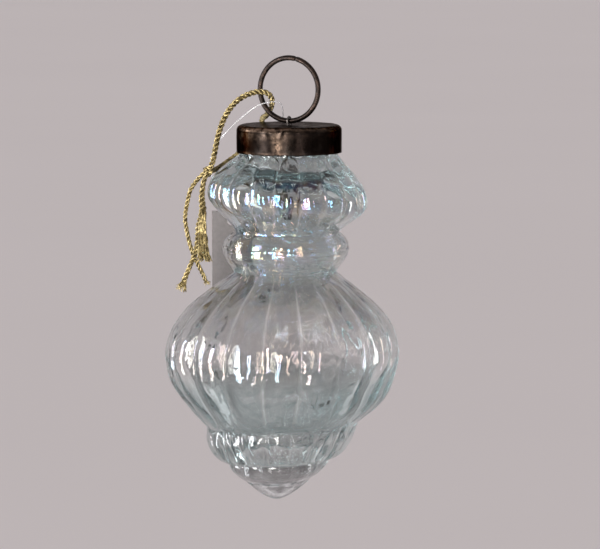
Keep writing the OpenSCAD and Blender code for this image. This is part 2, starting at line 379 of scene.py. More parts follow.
# The two tails that hang from the knot
tails = {
    "front": {
        "radius": 1.0,
        "length": 0.0375,
        "route": (
            (-26.4, -0.4, -36.4), (-27.4, -1, -38.8), (-27.9, -1.2, -42), (-28, -1.2, -45),
            (-27.7, -1.2, -48), (-28.1, -1.3, -51), (-28.7, -1.4, -54), (-28.9, -1.5, -57),
            (-29.9, -1.6, -61), (-31.4, -1.7, -65), (-33.1, -1.8, -69), (-34.2, -1.8, -72),
        ),
        "widths": (0.85, 0.9, 1, 1.2, 1.45, 1.65, 1.6, 1.25, 0.9, 0.8, 0.85, 1.1),
        "end": {  # its loose filaments, and how many points up the tail they start
            "count": 60, "long": 5.2, "spread": 1, "thick": 0.12, "down": (-0.32, -0.1, -1), "back": 12,
        },
    },
    "side": {
        "radius": 0.75,
        "length": 0.0415,
        "route": (
            (-26.8, 1.4, -35.8), (-29, 2, -38), (-31.6, 2.2, -41.6), (-32.8, 2.4, -46), (-33.5, 2.6, -51),
            (-32.8, 2.8, -56), (-31.6, 3.4, -61), (-29.6, 5, -66), (-27.8, 7.2, -70), (-27, 9, -72.4),
        ),
        "widths": (0.95, 1, 1, 1, 1, 1, 1, 1, 1, 1),
        "end": {
            "count": 18, "long": 1.8, "spread": 0.7, "thick": 0.1, "down": (0.3, 0.5, -1), "back": 4,
        },
    },
    "fray": {  # one ply of the front tail, undone into filaments
        "strands": 150,
        "thick": 0.14,
        "route": (
            (-27.7, -2.2, -47.5), (-27.7, -2.7, -51.5), (-27.7, -3.4, -55.5), (-27.5, -4.9, -59),
            (-27.3, -7, -62), (-27.2, -8.4, -63.6),
        ),
        "start": (0, 0.5), "stop": (0.72, 1.06),  # shares of the route
        "wide": (-1.9, 1.8), "deep": (-1.3, 0.5),
        "swayWide": (-0.35, 0.35), "swayDeep": (-0.3, 0.3), "waves": 16,
        "tone": (0.2, 0.95),
    },
}


def between(values, share):  # runs on straight past the last value
    at = share * (len(values) - 1)
    k = min(int(at), len(values) - 2)
    return values[k] + (values[k + 1] - values[k]) * (at - k)


def makeTail(name, node, tail):
    store = newStore()
    route = smoothRoute([hung(*p) for p in tail["route"]], steps=12)
    line = twistCord(store, route, tail["radius"] * mm, lambda t: between(tail["widths"], t) - 1)
    piece = makePiece(name, store, goldThread)
    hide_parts(node)
    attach(piece, "cap")
    print(name, round(routeLength(line), 4), "m")
    return piece, line


def makeFray():
    fray = tails["fray"]
    route = smoothRoute([hung(*p) for p in fray["route"]], steps=8)
    steps = 12
    radii = [fray["thick"] * mm] * (steps + 1)
    store = newStore()
    for _ in range(fray["strands"]):
        start = dice.uniform(*fray["start"])
        stop = dice.uniform(*fray["stop"])
        spread = hung(dice.uniform(*fray["wide"]), dice.uniform(*fray["deep"]), 0) / mm
        sway = hung(dice.uniform(*fray["swayWide"]), dice.uniform(*fray["swayDeep"]), 0) / mm
        line = []
        for j in range(steps + 1):
            t = start + (stop - start) * j / steps
            bow = spread * (0.45 + 0.3 * t + 0.6 * t ** 3) + sway * math.sin(fray["waves"] * t)
            line.append(between(route, t) + bow * mm)
        addTube(store, line, radii, gold["strandSides"], dice.uniform(*fray["tone"]))
    piece = makePiece("gold_fray", store, goldThread)
    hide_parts("cord_tail_fray")
    return piece


def makeEnd(name, line, end):
    store = newStore()
    addBrush(store, line[-end["back"]], end)
    return makePiece(name, store, goldThread)


def makeTails():
    front, frontLine = makeTail("gold_tail_front", "cord_tail_front", tails["front"])
    side, sideLine = makeTail("gold_tail_side", "cord_tail_side", tails["side"])
    brush = makeFray()
    frontEnd = makeEnd("gold_end_front", frontLine, tails["front"]["end"])
    sideEnd = makeEnd("gold_end_side", sideLine, tails["side"]["end"])
    for piece in (brush, frontEnd, sideEnd):
        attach(piece, "cap")


# Clear thread, from its knot to the ring, through it and down behind the cap to the tag
thread = {
    "radius": 0.2,
    "length": 0.124,
    "route": (
        (-19.3, 28, -48.8), (-21.6, 26, -45.4), (-24.4, 20.4, -40.8), (-25.6, 12.6, -35.4),
        (-24.6, 6, -30), (-21.6, 2.8, -25), (-17.6, 2, -20.6), (-13, 1.6, -16.6), (-10.4, 1.4, -14.8),
        (-7.8, 1.3, -13.8), (-5.2, 1.4, -13.4), (-3, 2.6, -13.8), (-2.2, 5, -15.2), (-2, 8, -17.2),
        (-2, 12, -18.9), (-2.6, 16, -20.1), (-4.4, 18.6, -22.8), (-8.4, 20.4, -28.6),
        (-13, 22.8, -35.8), (-17.2, 25.9, -43.4), (-18.9, 27.6, -49.2), (-18.9, 27.8, -53.2),
        (-18.9, 28.5, -54.8), (-18.9, 29.5, -54.2), (-18.9, 29.5, -51.6), (-19.2, 28.6, -49.4),
    ),
    "knotAt": (-19.1, 27.9, -48.4),
    "knotSize": 0.2,
    "colour": (0.92, 0.93, 0.95, 1),
    "gloss": 700, "rough": (0.08, 0.3),
    "sides": 10,
}


def threadFinish():
    sockets = {"Base Color": thread["colour"], "Transmission Weight": 0.85, "IOR": 1.5}
    finish, shader = newFinish("clear_thread", sockets)
    rough = span(finish, grain(finish, thread["gloss"]), *thread["rough"])
    join(finish, rough, shader.inputs["Roughness"])
    return finish


def makeThread():
    finish = threadFinish()
    line = smoothRoute([hung(*p) for p in thread["route"]], steps=10)
    store = newStore()
    addTube(store, line, [thread["radius"] * mm] * len(line), thread["sides"])
    piece = makePiece("clear_thread_loop", store, finish)
    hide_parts("tag_thread")
    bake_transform(piece)
    store = newStore()
    turns = overhand(thread["knotAt"], thread["knotSize"])
    addTube(store, turns, [thread["radius"] * mm] * len(turns), thread["sides"])
    knot = makePiece("clear_thread_knot", store, finish)
    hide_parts("thread_knot")
    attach(knot, "cap")
    print("thread", round(routeLength(line), 4), "m")


makeLoop()
makeTails()
makeThread()
print("cords made")


# Blown glass: the same stations as the solid, with the lean and ripple of hand work
glass = {
    "at": {  # heights of its places
        "rim": -21.6, "shoulder": -29.85, "flare": -36, "upper": -43.8, "groove": -55.2, "collar": -60.3,
        "waist": -67.8, "bulb": -93.8, "seat": -117.3, "band": -119, "step": -129.4, "tip": -136,
        "floor": -139.2, "end": -142,
    },
    "outer": (  # narrow place and radius, wide place and radius, how lean the swell is, rings along it
        ("shoulder", 15.8, "upper", 25.9, 1.35, 26),
        ("groove", 16.7, "upper", 25.9, 1.7, 24),
        ("groove", 16.7, "collar", 20.3, 0.7, 20),
        ("waist", 16.4, "collar", 20.3, 1.3, 24),
        ("waist", 16.4, "bulb", 38, 1.14, 44),
        ("seat", 24, "bulb", 38, 1.05, 40),
        ("step", 16, "band", 24, 0.6, 24),
        ("tip", 10, "step", 16, 1.2, 14),
        ("end", 0, "tip", 10, 0.62, 14),
    ),
    "inner": (
        ("flare", 13.6, "upper", 23.2, 1.2, 18),
        ("groove", 14.9, "upper", 23.2, 1.7, 18),
        ("groove", 14.9, "collar", 18.5, 0.7, 14),
        ("waist", 14.6, "collar", 18.5, 1.3, 16),
        ("waist", 14.6, "bulb", 35.2, 1.14, 32),
        ("seat", 19.6, "bulb", 35.2, 1.5, 30),
        ("step", 11.5, "band", 19.6, 0.8, 16),
        ("tip", 5.6, "step", 11.5, 1.1, 10),
        ("floor", 0, "tip", 5.6, 0.6, 10),
    ),
    "neckR": 15.8, "neckWall": 2.2, "lip": 0.25,
    "flutes": 18, "fluteDepth": 1.5, "fluteTurn": -6, "perFlute": 20,
    "bandFlutes": 0.7,  # their depth on the band, as a share
    "archPower": 0.6,  # how soon they reach their depth
    "crowd": 0.6,  # how much closer the points stand at the grooves
    "grooveSoft": 0.15,  # how round the bottom of a groove is
    "stray": 0.022, "strayRound": 2.2, "strayDown": 26,  # the grooves wander a little
    "innerShare": 0.5,  # how much of the fluting shows on the inside
    "lean": 2, "leanTurn": 204,
    "upperTilt": 4.5, "lowerTilt": 2.2,  # degrees, clockwise and back as the camera looks
    "sag": 2.6, "sagAt": -111.5, "sagTall": 7.5,  # the large bulb ran out fuller low on the right
    "sagRound": 0.35,  # the share of this that goes all round
    "ripple": 0.17, "fineShare": 0.65, "fineRipple": 0.2, "calmAt": -38, "calmTall": 6,
    "wideWave": (11, 14), "fineWave": (4.2, 7), "smallWave": 1.5,  # sizes of the ripples, round and down
    "creep": 2.6, "upperCreep": 5,  # the small wrinkles run further down on the upper bulb
    "patch": (0.4, 1.6),  # some places came out smoother than others
    "turnMark": 0.1, "markPitch": 2.1,  # rings left by turning the hot glass
    "thickFlutes": 2, "thickRipple": 2.6,  # the inside is rougher where the glass is thick
    "innerRipple": 0.9, "waistRipple": 1.6, "waistTall": 5,  # and just below the waist
    "tintAndShade": (  # height and the colour that both walls let through there: the glass's grey, teal where it is thick, with bands of painted light and shade, lighter round the large bulb's middle and darker over its top
        (-142, (0.58, 0.58, 0.59)), (-131, (0.64, 0.64, 0.645)), (-127.5, (0.61, 0.69, 0.69)),
        (-122, (0.8, 0.8, 0.8)), (-116, (0.49, 0.565, 0.57)), (-107, (0.465, 0.535, 0.54)),
        (-100, (0.83, 0.825, 0.825)), (-90, (0.9, 0.895, 0.895)), (-76, (0.505, 0.525, 0.52)),
        (-67, (0.72, 0.745, 0.74)), (-58, (0.7, 0.74, 0.735)), (-46, (0.61, 0.635, 0.632)),
        (-38, (0.625, 0.65, 0.652)), (-30, (0.61, 0.65, 0.652)), (-26, (0.45, 0.66, 0.69)),
    ),
    "thinGrooveAndSheen": (0.97, 0.975, 0.97),  # lighter along the grooves: the glass is thinnest there, and the light lines that the grooves catch are painted reflection
    # height and share of the lustre, which is faint on the large bulb
    "filmAt": ((-101.3, 0), (-98, 0.375), (-72, 0.5), (-68.8, 1), (-38.5, 1), (-36.5, 0)),
    "filmIndex": (1.5, 1.69),  # without lustre it is the same as the glass
    "filmThick": (95, 270), "filmGrain": 170,
    "hazeAt": ((-69, 0.012), (-64, 0.03), (-58, 0.035), (-53, 0.012)),  # height and roughness
    "smoke": (0.9, 0.895, 0.895), "smokeGrain": 160,
    "soot": (0.55, 0.53, 0.535), "sootGrain": 330, "sootTall": (0.06, 0.16),  # fades out up the tip
    "longDown": (1, 1, 0.5),  # stretches a grain down the glass
    "wrinkle": 420, "wrinkleBump": (0.08, 0.0004),
    "thickTint": (0.66, 0.81, 0.82, 1), "thickTintDensity": 32,
}


def swollen(stretches, z):  # radius at a height, on a list of swelling stretches
    at = glass["at"]
    for narrow, narrowR, wide, wideR, power, _ in stretches:
        low, high = sorted((at[narrow], at[wide]))
        if low <= z <= high:
            t = abs(z - at[wide]) / (high - low)
            if narrow in ("end", "floor"):  # closed ends are drawn to a point
                return wideR * (1 - t) ** power
            return narrowR + (wideR - narrowR) * max(0, 1 - t * t) ** power
    return None


def glassRadius(z):
    if z > glass["at"]["shoulder"]:
        return glass["neckR"]
    return swollen(glass["outer"], z) or glass["outer"][6][3]


def cavityRadius(z):
    if z > glass["at"]["flare"]:
        return glass["neckR"] - glass["neckWall"]
    return swollen(glass["inner"], z) or glass["inner"][6][3]


def arch(z, top, bottom):  # 0 at two places and 1 half way between them
    top, bottom = glass["at"][top], glass["at"][bottom]
    if not bottom < z < top:
        return 0
    return max(0, math.sin(math.pi * (top - z) / (top - bottom))) ** glass["archPower"]


def fluting(z):
    bulbs = arch(z, "shoulder", "groove") + arch(z, "waist", "seat")
    return bulbs + glass["bandFlutes"] * arch(z, "seat", "step")


def ringHeights(stretches):  # closer together near both ends of each stretch
    out = []
    for narrow, _, wide, _, _, count in stretches:
        top, bottom = sorted((glass["at"][narrow], glass["at"][wide]), reverse=True)
        for i in range(count):
            out.append((top + bottom) / 2 + (top - bottom) / 2 * math.cos(math.pi * i / count))
    return out


def calmness(z):  # wrinkles and inside flutes fade towards the shoulder
    return min(1, max(0.1, (glass["calmAt"] - z) / glass["calmTall"]))


def wavy(x, y, z, size, shift):  # noise with a size of its own round and down
    return noise.noise(Vector((x / size[0], y / size[0], z / size[1] + shift)))


def glassRing(z, r, depth, ripple, side=0):
    g = glass
    at = g["at"]
    drift = math.tan(math.radians(g["lean"])) * max(0, at["shoulder"] - z)
    midX = drift * math.cos(math.radians(g["leanTurn"]))
    midY = drift * math.sin(math.radians(g["leanTurn"]))
    turn = math.radians(shot["turn"])
    upper = arch(z, "shoulder", "groove")
    lower = min(1, max(0, (at["bulb"] - z) / (at["bulb"] - at["seat"])))
    tilt = math.tan(math.radians(g["lowerTilt"])) * lower
    tilt -= math.tan(math.radians(g["upperTilt"])) * upper
    marks = g["turnMark"] * (arch(z, "groove", "waist") + arch(z, "step", "end"))
    sag = g["sag"] * math.exp(-((z - g["sagAt"]) / g["sagTall"]) ** 2)
    smallWave = (g["smallWave"], g["creep"] + g["upperCreep"] * upper)
    calm = calmness(z)
    points, tones = [], []
    for i in range(g["flutes"] * g["perFlute"]):
        x = i / g["perFlute"]
        x += g["crowd"] * math.sin(2 * math.pi * x) / (2 * math.pi)
        swing = 2 * math.pi * x / g["flutes"]
        angle = swing + math.radians(g["fluteTurn"])
        c, d = math.cos(angle), math.sin(angle)
        way = Vector((c * g["strayRound"], d * g["strayRound"], z / g["strayDown"]))
        stray = g["stray"] * noise.noise(way)
        ridge = math.cos(g["flutes"] * (swing + stray) / 2)  # 0 along a groove
        s = r - depth * (1 - math.hypot(ridge, g["grooveSoft"]))
        s += sag * (g["sagRound"] + (1 - g["sagRound"]) * math.cos(angle - turn))
        wide = wavy(c * s, d * s, z, g["wideWave"], side)
        fine = wavy(c * s, d * s, z, g["fineWave"], side + 9)
        s += ripple * (wide + g["fineShare"] * fine * calm) * min(1, r / 6)
        if side == 0:  # the outside was worked with tools, the inside only blown
            small = wavy(c * s, d * s, z, smallWave, 30)
            patch = g["patch"][0] + g["patch"][1] * abs(wide)
            s += g["fineRipple"] * small * patch * calm * min(1, r / 12) * (ripple > 0)
            s += marks * math.sin(2 * math.pi * z / g["markPitch"] + 3 * wide)
        u = s * math.cos(angle - turn)
        points.append(Vector((midX + s * c, midY + s * d, z + tilt * u)) * mm)
        # the groove tone lightens the glass along each groove, partly as painted reflection
        tones.append(math.exp(-(ridge / g["grooveSoft"]) ** 2) * min(1, depth / g["fluteDepth"]))
    return points, tones


def byHeight(finish, height, stops):  # colours or plain values at heights on the glass
    low, high = glass["tintAndShade"][0][0], glass["tintAndShade"][-1][0]
    shares = [((z - low) / (high - low), value) for z, value in stops]
    return ramp(finish, height, [(at, v if isinstance(v, tuple) else (v, v, v)) for at, v in shares])


def glassFinish():
    g = glass
    finish, shader = newFinish("clear_glass", {"Transmission Weight": 1, "IOR": 1.5})
    place = addNode(finish, "ShaderNodeTexCoord")
    parts = addNode(finish, "ShaderNodeSeparateXYZ")
    join(finish, place.outputs["Object"], parts.inputs["Vector"])
    height = span(finish, parts.outputs["Z"], 0, 1, g["tintAndShade"][0][0] * mm, g["tintAndShade"][-1][0] * mm)
    # colour by height, with its bands of painted light and shade
    body = byHeight(finish, height, g["tintAndShade"])
    clouds = grain(finish, g["smokeGrain"], 4, g["longDown"])
    smoke = ramp(finish, clouds, ((0.32, g["smoke"]), (0.6, (1, 1, 1))))
    soot = ramp(finish, grain(finish, g["sootGrain"], 5), ((0.42, g["soot"]), (0.58, (1, 1, 1))))
    smoke = mixColours(finish, span(finish, height, 1, 0, *g["sootTall"]), smoke, soot)
    # lighter along the grooves: thin glass and painted reflection
    lit = mixColours(finish, readTone(finish), shade(finish, body, smoke), g["thinGrooveAndSheen"])
    join(finish, lit, shader.inputs["Base Color"])
    lustre = span(finish, byHeight(finish, height, g["filmAt"]), *g["filmIndex"], 0, 1)
    join(finish, lustre, shader.inputs["Thin Film IOR"])
    film = span(finish, grain(finish, g["filmGrain"], 2, g["longDown"]), *g["filmThick"])
    join(finish, film, shader.inputs["Thin Film Thickness"])
    join(finish, byHeight(finish, height, g["hazeAt"]), shader.inputs["Roughness"])
    bumpy(finish, shader, grain(finish, g["wrinkle"], 2, (1, 1, 0.45)), *g["wrinkleBump"])
    values = {"Color": g["thickTint"], "Density": g["thickTintDensity"]}
    tint = addNode(finish, "ShaderNodeVolumeAbsorption", values)
    out = finish.node_tree.nodes["Material Output"]
    join(finish, tint.outputs["Volume"], out.inputs["Volume"])
    return finish


def makeGlass():
    g = glass
    at = g["at"]
    lip = [at["rim"] - g["lip"], (at["rim"] + at["shoulder"]) / 2]
    outside = lip + ringHeights(g["outer"])
    inside = lip + [at["shoulder"]] + ringHeights(g["inner"])
    rings = []
    for z in reversed(outside):
        rings.append(glassRing(z, glassRadius(z), g["fluteDepth"] * fluting(z), g["ripple"]))
    for r in (g["neckR"] - g["lip"], g["neckR"] - g["neckWall"] + g["lip"]):
        rings.append(glassRing(at["rim"], r, 0, 0))
    for z in inside:
        thick = z < at["seat"]
        flutes = g["innerShare"] * (g["thickFlutes"] if thick else 1)
        depth = flutes * g["fluteDepth"] * fluting(z) * calmness(z)
        below = (at["waist"] - z) / g["waistTall"] - 1
        uneven = g["innerRipple"] + g["waistRipple"] * math.exp(-below ** 2)
        ripple = g["ripple"] * (g["thickRipple"] if thick else uneven)
        rings.append(glassRing(z, cavityRadius(z), depth, ripple, side=40))
    store = newStore()
    for points, tones in rings:
        store["points"] += points
        store["tone"] += tones
    n = g["flutes"] * g["perFlute"]
    for k in range(len(rings) - 1):
        for i in range(n):
            a, b = k * n + i, k * n + (i + 1) % n
            store["faces"].append((a, b, b + n, a + n))
    for k, place, up in ((0, "end", False), (len(rings) - 1, "floor", True)):
        pole = len(store["points"])
        middle = sum(rings[k][0], Vector()) / n
        store["points"].append(Vector((middle.x, middle.y, at[place] * mm)))
        store["tone"].append(0)
        for i in range(n):
            a, b = k * n + i, k * n + (i + 1) % n
            store["faces"].append((pole, a, b) if up else (pole, b, a))
    piece = makePiece("blown_glass", store, glassFinish())
    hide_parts("glass_body")
    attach(piece, "glass")
    print("glass made,", len(store["points"]), "points")


makeGlass()


# Pressed cap with one dent in its top edge
cap = {
    "radius": 16.9, "topZ": -20.65, "height": 8.8, "sheet": 0.5, "edge": 1.7,
    "around": 240,
    "dentTurn": -15,  # degrees from straight ahead of the camera
    "dentWide": 6.5, "dentDeep": 0.62, "dentReach": 2.6, "dentSoft": 2.4, "dentDown": 0.75,
    "swell": 0.1, "waver": 0.08,  # the pressed metal isn't quite round or flat
    # copper on the top face is painted sheen; on the wall and the lower rim it is rubbed wear
    "topSheen": 0.3, "wallRub": 0.12, "rimRub": 0.35,
    "sheenTurn": -30, "sheenWide": 34, "leastSheen": 0.25,  # rubbed copper on the edge, with painted highlight brightest left of the dent
    # a streak of painted highlight, in bare copper, down the side below the dent
    "streak": 0.6, "streakTurn": 1, "streakWide": 4, "streakDrop": 4.6, "streakTall": 3.4, "streakR": 14,
    "discR": 2.6, "holeAt": 1.35, "holeR": 0.5,  # the legs of the clip come up through two holes
    "dark": (0.004, 0.0033, 0.003), "brown": (0.0085, 0.006, 0.005), "copper": (0.4, 0.275, 0.2),
    "grey": (0.026, 0.022, 0.0195), "edgeTint": (0.25, 0.205, 0.175, 1),
    "unplated": (0.36, 0.38, 0.38), "insideTone": 2,  # the inside is plain metal
    "rough": (0.2, 0.4), "bump": (0.2, 0.0001),
    # how fine each grain is
    "blotch": 260, "drawn": 700, "mingle": 120, "scuff": 520, "bare": 900, "gloss": 420, "pits": 1100,
}


def capFinish():
    finish, shader = newFinish("antique_copper", {"Metallic": 1, "Specular Tint": cap["edgeTint"]})
    stops = ((0.3, cap["dark"]), (0.5, cap["brown"]), (0.72, cap["grey"]))
    blotch = ramp(finish, grain(finish, cap["blotch"], 5), stops)
    drawn = grain(finish, cap["drawn"], 4, (1, 1, 0.12))
    streak = ramp(finish, drawn, ((0.35, cap["dark"]), (0.65, cap["brown"])))
    base = mixColours(finish, span(finish, grain(finish, cap["mingle"]), 0.2, 0.75), blotch, streak)
    # bare copper where the tone says: rubbed wear, painted sheen and painted highlight
    rubAndSheen = multiply(finish, readTone(finish), span(finish, grain(finish, cap["scuff"], 4), 0.35, 1.2))
    bare = ramp(finish, grain(finish, cap["bare"]), ((0.3, cap["copper"]), (0.7, cap["brown"])))
    outside = mixColours(finish, rubAndSheen, base, bare)
    inside = span(finish, readTone(finish), 0, 1, 1.2, 1.8)  # only the inside has a tone above 1
    join(finish, mixColours(finish, inside, outside, cap["unplated"]), shader.inputs["Base Color"])
    rough = span(finish, grain(finish, cap["gloss"], 4), *cap["rough"])
    join(finish, rough, shader.inputs["Roughness"])
    bumpy(finish, shader, grain(finish, cap["pits"], 4), *cap["bump"])
    return finish


def capProfile(r, top, edge, end):  # disc to the lower rim, with how much bare copper shows at each place: rubbed wear, painted sheen on the top face and painted highlight on the rounded edge
    flat = r - edge
    start = cap["discR"] / flat
    shares = (start, 0.3, 0.5, 0.66, 0.78, 0.87, 0.93, 0.97)
    # the flat top: painted sheen
    out = [(t * flat, top, cap["topSheen"]) for t in shares]
    turns, rows = 10, 14
    for k in range(turns + 1):
        a = math.pi / 2 * k / turns
        # the rounded edge: rubbed copper with a painted highlight
        out.append((flat + edge * math.sin(a), top - edge + edge * math.cos(a), math.sin(2 * a) ** 1.5))
    for k in range(1, rows + 1):
        t = k / rows
        low = max(0, (t - 0.9) / 0.1)
        rubbed = cap["rimRub"] * low + cap["wallRub"] * (1 - t) ** 3
        out.append((r, top - edge + (end - top + edge) * t, rubbed))
    return out


def bell(away, reach):  # 1 in the middle, fading out on both sides
    return math.exp(-(away / reach) ** 2)


def addCapPoint(store, r, angle, z, rubbed):
    front = math.radians(shot["turn"] - 90 + cap["dentTurn"])
    c, d = math.cos(angle), math.sin(angle)
    off = math.degrees((angle - front + math.pi) % (2 * math.pi) - math.pi)
    below = cap["topZ"] - z
    crease = bell(r - cap["radius"], cap["dentSoft"]) * bell(below - 1, cap["dentReach"])
    push = cap["dentDeep"] * bell(off, cap["dentWide"]) * crease
    swell = cap["swell"] * noise.noise(Vector((c * 1.6, d * 1.6, z / 5)))
    s = r - push + swell * min(1, r / 12)
    down = cap["dentDown"] * push + cap["waver"] * noise.noise(Vector((c * r / 6, d * r / 6, 3)))
    store["points"].append(Vector((s * c, s * d, z - down)) * mm)
    # painted highlight: the edge's copper is brightest towards the lamps, left of the dent
    bright = bell(off - cap["sheenTurn"], cap["sheenWide"])
    edge = rubbed * (cap["leastSheen"] + (1 - cap["leastSheen"]) * bright)
    # a streak of painted highlight below the dent
    streak = bell(off - cap["streakTurn"], cap["streakWide"])
    streak *= bell(below - cap["streakDrop"], cap["streakTall"])
    streak *= cap["streak"] * (r > cap["streakR"])
    store["tone"].append(rubbed if rubbed > 1 else min(1, edge + streak))
    return len(store["points"]) - 1


def addCapDisc(store, rim, z, up, rubbed):  # middle of the top, round the clip's two holes
    n = len(rim)
    across = 32
    line = []
    for k in range(1, across):
        x = cap["discR"] * (2 * k / across - 1)
        line.append(addCapPoint(store, abs(x), 0 if x > 0 else math.pi, z, rubbed))
    holes = []
    for side, edge in ((1, rim[:n // 2 + 1] + line), (-1, rim[n // 2:] + rim[:1] + line[::-1])):
        rings = [edge]
        for share in (0.5, 0):  # half way in, then the hole's own edge
            ring = []
            for k in edge:
                spot = store["points"][k] / mm
                away = Vector((spot.x, spot.y - side * cap["holeAt"], 0))
                away = away.normalized() * (cap["holeR"] + (away.length - cap["holeR"]) * share)
                x, y = away.x, away.y + side * cap["holeAt"]
                ring.append(addCapPoint(store, math.hypot(x, y), math.atan2(y, x), z, rubbed))
            rings.append(ring)
        for outer, inner in zip(rings, rings[1:]):
            for i in range(len(edge)):
                j = (i + 1) % len(edge)
                face = (inner[i], outer[i], outer[j], inner[j])
                store["faces"].append(face if up else face[::-1])
        holes.append(rings[-1])
    return holes


def makeCap():
    end = cap["topZ"] - cap["height"]
    sheet = cap["sheet"]
    outer = capProfile(cap["radius"], cap["topZ"], cap["edge"], end)
    inner = capProfile(cap["radius"] - sheet, cap["topZ"] - sheet, cap["edge"] - sheet, end)
    rows = outer + [(r, z, cap["insideTone"]) for r, z, _ in reversed(inner)]
    n = cap["around"]
    store = newStore()
    for r, z, rubbed in rows:
        for i in range(n):
            addCapPoint(store, r, 2 * math.pi * i / n, z, rubbed)
    for k in range(len(rows) - 1):
        for i in range(n):
            a, b = k * n + i, k * n + (i + 1) % n
            store["faces"].append((a, a + n, b + n, b))
    last = (len(rows) - 1) * n
    top = addCapDisc(store, list(range(n)), cap["topZ"], True, 0)
    under = addCapDisc(store, list(range(last, last + n)), cap["topZ"] - sheet, False, cap["insideTone"])
    for high, low in zip(top, under):
        for i in range(len(high)):
            j = (i + 1) % len(high)
            store["faces"].append((high[i], high[j], low[j], low[i]))
    piece = makePiece("copper_cap", store, capFinish())
    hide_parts("metal_cap")
    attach(piece, "cap")
    print("cap made")


makeCap()


# Wire ring with its butt joint, and the sprung clip whose eye holds it
wire = {
    "ringR": 10.15, "ringZ": -9.3, "ringWire": 0.85, "gap": 1.5, "gapAt": 76,
    "waver": 0.05,  # the ring isn't quite round or flat
    "filed": (0.86, 0.96),  # its two ends are filed a little thinner
    "eyeZ": -19.45, "eyeR": 1.35, "clipWire": 0.3, "bendZ": -48.65,
    "armSlant": 30, "armLength": 23, "bendR": 0.5, "bendOut": (0.12, 0.3, 0.62),
    "dark": (0.006, 0.0045, 0.004), "brown": (0.018, 0.012, 0.0095), "rubbed": (0.055, 0.034, 0.026),
    "ringRough": 0.36,
    "clipDark": (0.03, 0.027, 0.025), "clipGrey": (0.09, 0.08, 0.074), "clipBright": (0.3, 0.28, 0.26),
    "clipRough": 0.34,
    "blotch": 650, "gloss": 900, "pits": 2000, "bump": (0.2, 0.00006),
}


def wireFinish(name, dark, middle, bright, rough):
    finish, shader = newFinish(name, {"Metallic": 0.9})
    stops = ((0.3, dark), (0.56, middle), (0.8, bright))
    join(finish, ramp(finish, grain(finish, wire["blotch"], 5), stops), shader.inputs["Base Color"])
    gloss = span(finish, grain(finish, wire["gloss"], 4), rough - 0.1, rough + 0.12)
    join(finish, gloss, shader.inputs["Roughness"])
    bumpy(finish, shader, grain(finish, wire["pits"], 3), *wire["bump"])
    return finish


def makeRing():
    line = []
    count = 180
    for k in range(count + 1):
        a = math.radians(wire["gapAt"] + wire["gap"] + (360 - wire["gap"]) * k / count)
        r = wire["ringR"] + wire["waver"] * math.sin(2 * a + 0.7)
        y = wire["waver"] * math.sin(3 * a)
        line.append(Vector((r * math.cos(a), y, wire["ringZ"] + r * math.sin(a))) * mm)
    store = newStore()
    ends = [*wire["filed"]] + [1] * (count - 3) + [*reversed(wire["filed"])]
    addTube(store, line, [wire["ringWire"] * mm * e for e in ends], sides=20)
    finish = wireFinish("bronze_wire", wire["dark"], wire["brown"], wire["rubbed"], wire["ringRough"])
    piece = makePiece("bronze_ring", store, finish)
    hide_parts("hanging_ring")
    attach(piece, "ring")


def makeClip():
    slant = math.radians(wire["armSlant"])
    across, low = wire["eyeR"], wire["bendZ"]
    tip = (across + wire["armLength"] * math.sin(slant), low + wire["armLength"] * math.cos(slant))
    rises = (wire["bendR"], 0, wire["bendR"])
    bend = [(across + out, low + up) for out, up in zip(wire["bendOut"], rises)]
    side = [(across, wire["eyeZ"]), (across, low + 3 * wire["bendR"])] + bend + [tip]
    turns = [math.pi * k / 16 for k in range(17)]
    arc = [(across * math.cos(a), wire["eyeZ"] + across * math.sin(a)) for a in turns]
    whole = list(reversed(side))[:-1] + arc + [(-y, z) for y, z in side[1:]]
    line = evenRoute([Vector((0, y, z)) * mm for y, z in whole], wire["clipWire"] * mm)
    store = newStore()
    addTube(store, line, [wire["clipWire"] * mm] * len(line), sides=12)
    colours = (wire["clipDark"], wire["clipGrey"], wire["clipBright"])
    finish = wireFinish("clip_wire", *colours, wire["clipRough"])
    piece = makePiece("spring_clip_wire", store, finish)
    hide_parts("spring_clip")
    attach(piece, "cap")


makeRing()
makeClip()
print("ring and clip made")


# Bare card tag with a punched hole
tag = {
    "top": (-18.9, 28.2, -51.2), "wide": 13, "tall": 30, "thick": 0.5, "lean": 10,
    "holeR": 1.5, "holeDrop": 3.4, "curl": 0.5,
    "pale": (0.119, 0.108, 0.106), "grey": (0.096, 0.087, 0.085),
    "fibre": 900, "tooth": 2400, "bump": (0.25, 0.00006),
}


def cardFinish():
    finish, shader = newFinish("tag_card", {"Roughness": 0.8})
    colour = ramp(finish, grain(finish, tag["fibre"], 5), ((0.3, tag["grey"]), (0.7, tag["pale"])))
    join(finish, colour, shader.inputs["Base Color"])
    bumpy(finish, shader, grain(finish, tag["tooth"], 4, (1, 1, 0.4)), *tag["bump"])
    return finish


